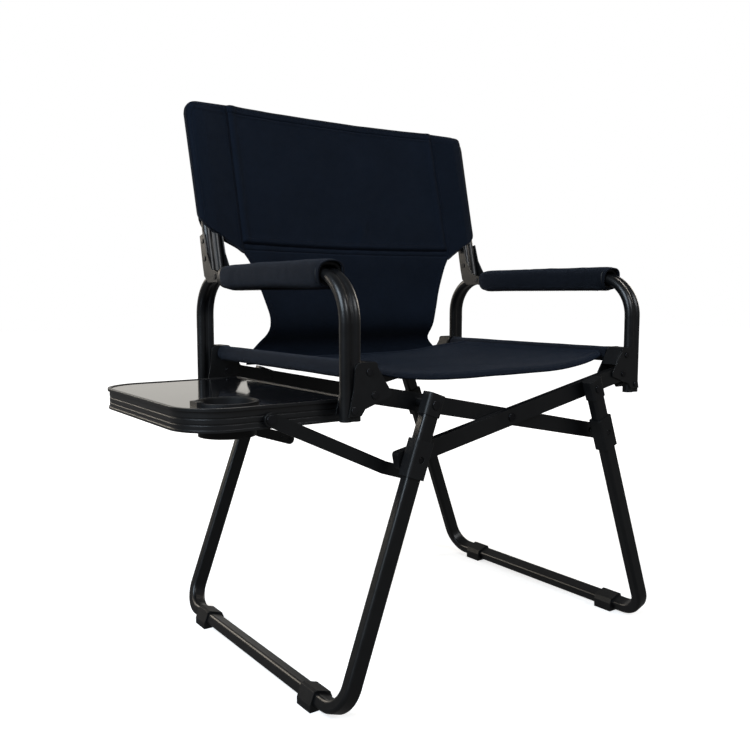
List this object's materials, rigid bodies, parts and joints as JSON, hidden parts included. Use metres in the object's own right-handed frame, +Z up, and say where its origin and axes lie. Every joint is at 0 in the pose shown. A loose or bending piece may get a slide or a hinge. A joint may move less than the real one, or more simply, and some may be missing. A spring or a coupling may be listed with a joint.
{
  "type": "folding camp chair",
  "caption": "Folding director's chair with scissor bars, sliding U-shaped legs, padded arms, fabric seat and back, and a drop-down side tray with a cup holder.",
  "frame": {"origin": "middle of the whole outline, on the floor", "axes": "+Z up, the sitter faces -Y, the tray is on the -X side"},
  "size_m": [0.8212, 0.5136, 0.888],
  "materials": {
    "sling_fabric": "woven polyester, matte",
    "pad_fabric": "brushed woven polyester over foam",
    "coated_tube": "black satin powder coat",
    "moulded_plastic": "fine moulded texture",
    "tray_extrusion": "black satin",
    "tray_top": "glossy laminate",
    "fasteners": "blackened steel"
  },
  "bodies": {
    "centre": {"centre_rivets": "fasteners"},
    "bars_a": {"bar_a_front": "coated_tube", "bar_a_rear": "coated_tube", "bar_a_end_caps": "moulded_plastic"},
    "bars_b": {"bar_b_front": "coated_tube", "bar_b_rear": "coated_tube", "bar_b_end_caps": "moulded_plastic"},
    "left_frame": {"left_arm_tube": "coated_tube", "left_arm_feet": "moulded_plastic", "left_seat_rail": "coated_tube", "left_rail_plugs": "moulded_plastic", "left_front_bracket": "coated_tube", "left_rear_bracket": "coated_tube", "left_bracket_bolts": "fasteners", "left_bar_pins": "fasteners", "left_arm_pad": "pad_fabric", "left_back_gussets": "coated_tube", "left_gusset_rivets": "fasteners", "left_back_post": "coated_tube", "left_rail_sleeve": "pad_fabric", "left_back_pocket": "sling_fabric", "tray_hinge_rod": "fasteners", "seat_sling": "sling_fabric", "back_sling": "sling_fabric"},
    "right_frame": {"right_arm_tube": "coated_tube", "right_arm_feet": "moulded_plastic", "right_seat_rail": "coated_tube", "right_rail_plugs": "moulded_plastic", "right_front_bracket": "coated_tube", "right_rear_bracket": "coated_tube", "right_bracket_bolts": "fasteners", "right_bar_pins": "fasteners", "right_arm_pad": "pad_fabric", "right_back_gussets": "coated_tube", "right_gusset_rivets": "fasteners", "right_back_post": "coated_tube", "right_rail_sleeve": "pad_fabric", "right_back_pocket": "sling_fabric"},
    "left_leg": {"left_leg": "coated_tube", "left_leg_caps": "moulded_plastic", "left_foot_clips": "moulded_plastic", "left_leg_pins": "fasteners"},
    "right_leg": {"right_leg": "coated_tube", "right_leg_caps": "moulded_plastic", "right_foot_clips": "moulded_plastic", "right_leg_pins": "fasteners"},
    "left_sliders": {"left_front_slider": "moulded_plastic", "left_rear_slider": "moulded_plastic", "left_slider_rivets": "fasteners"},
    "right_sliders": {"right_front_slider": "moulded_plastic", "right_rear_slider": "moulded_plastic", "right_slider_rivets": "fasteners"},
    "tray": {"tray_rim": "tray_extrusion", "tray_panel": "tray_top", "cup_ring": "moulded_plastic", "cup_well": "moulded_plastic", "tray_rivets": "fasteners"},
    "struts": {"front_strut": "coated_tube", "rear_strut": "coated_tube", "strut_end_pins": "fasteners"}
  },
  "joints": [
    {"name": "fold", "type": "hinge", "parent": "centre", "child": "bars_a", "pos_m": [0.08335, 0, 0.37896], "axis": [0, 1, 0], "range_deg": [0, 68.05], "deforming": ["seat_sling", "back_sling"]},
    {"name": "bars_b_turn", "type": "hinge", "parent": "centre", "child": "bars_b", "pos_m": [0.08335, 0, 0.37896], "axis": [0, -1, 0], "range_deg": [0, 68.55]},
    {"name": "left_frame_turn", "type": "hinge", "parent": "bars_a", "child": "left_frame", "pos_m": [-0.16865, 0, 0.43], "axis": [0, -1, 0], "range_deg": [0, 68.55]},
    {"name": "right_frame_turn", "type": "hinge", "parent": "bars_b", "child": "right_frame", "pos_m": [0.33535, 0, 0.43], "axis": [0, 1, 0], "range_deg": [0, 68.55]},
    {"name": "left_leg_turn", "type": "hinge", "parent": "bars_a", "child": "left_leg", "pos_m": [-0.08215, 0, 0.41248], "axis": [0, -1, 0], "range_deg": [0, 87.62]},
    {"name": "right_leg_turn", "type": "hinge", "parent": "bars_b", "child": "right_leg", "pos_m": [0.24885, 0, 0.41248], "axis": [0, 1, 0], "range_deg": [0, 87.62]},
    {"name": "left_collar_slide", "type": "slide", "parent": "left_leg", "child": "left_sliders", "axis": [-0.3394, 0, -0.9406], "range_m": [0, 0.2824]},
    {"name": "right_collar_slide", "type": "slide", "parent": "right_leg", "child": "right_sliders", "axis": [0.3394, 0, -0.9406], "range_m": [0, 0.2824]},
    {"name": "tray_drop", "type": "hinge", "parent": "left_frame", "child": "tray", "pos_m": [-0.20065, 0, 0.4116], "axis": [0, -1, 0], "range_deg": [0, 90.5]},
    {"name": "strut_turn", "type": "hinge", "parent": "tray", "child": "struts", "pos_m": [-0.30465, 0, 0.4056], "axis": [0, 1, 0], "range_deg": [0, 157.11]}
  ],
  "couplings": [
    {"joint": "bars_b_turn", "follows": "fold", "ratio": 1},
    {"joint": "left_frame_turn", "follows": "fold", "ratio": 1},
    {"joint": "right_frame_turn", "follows": "fold", "ratio": 1},
    {"joint": "left_leg_turn", "follows": "fold", "ratio": 1.2802},
    {"joint": "right_leg_turn", "follows": "fold", "ratio": 1.2802},
    {"joint": "left_collar_slide", "follows": "fold", "m_per_rad": 0.23692},
    {"joint": "right_collar_slide", "follows": "fold", "m_per_rad": 0.23692},
    {"joint": "tray_drop", "follows": "fold", "ratio": 1.3226},
    {"joint": "strut_turn", "follows": "fold", "ratio": 2.3013}
  ]
}
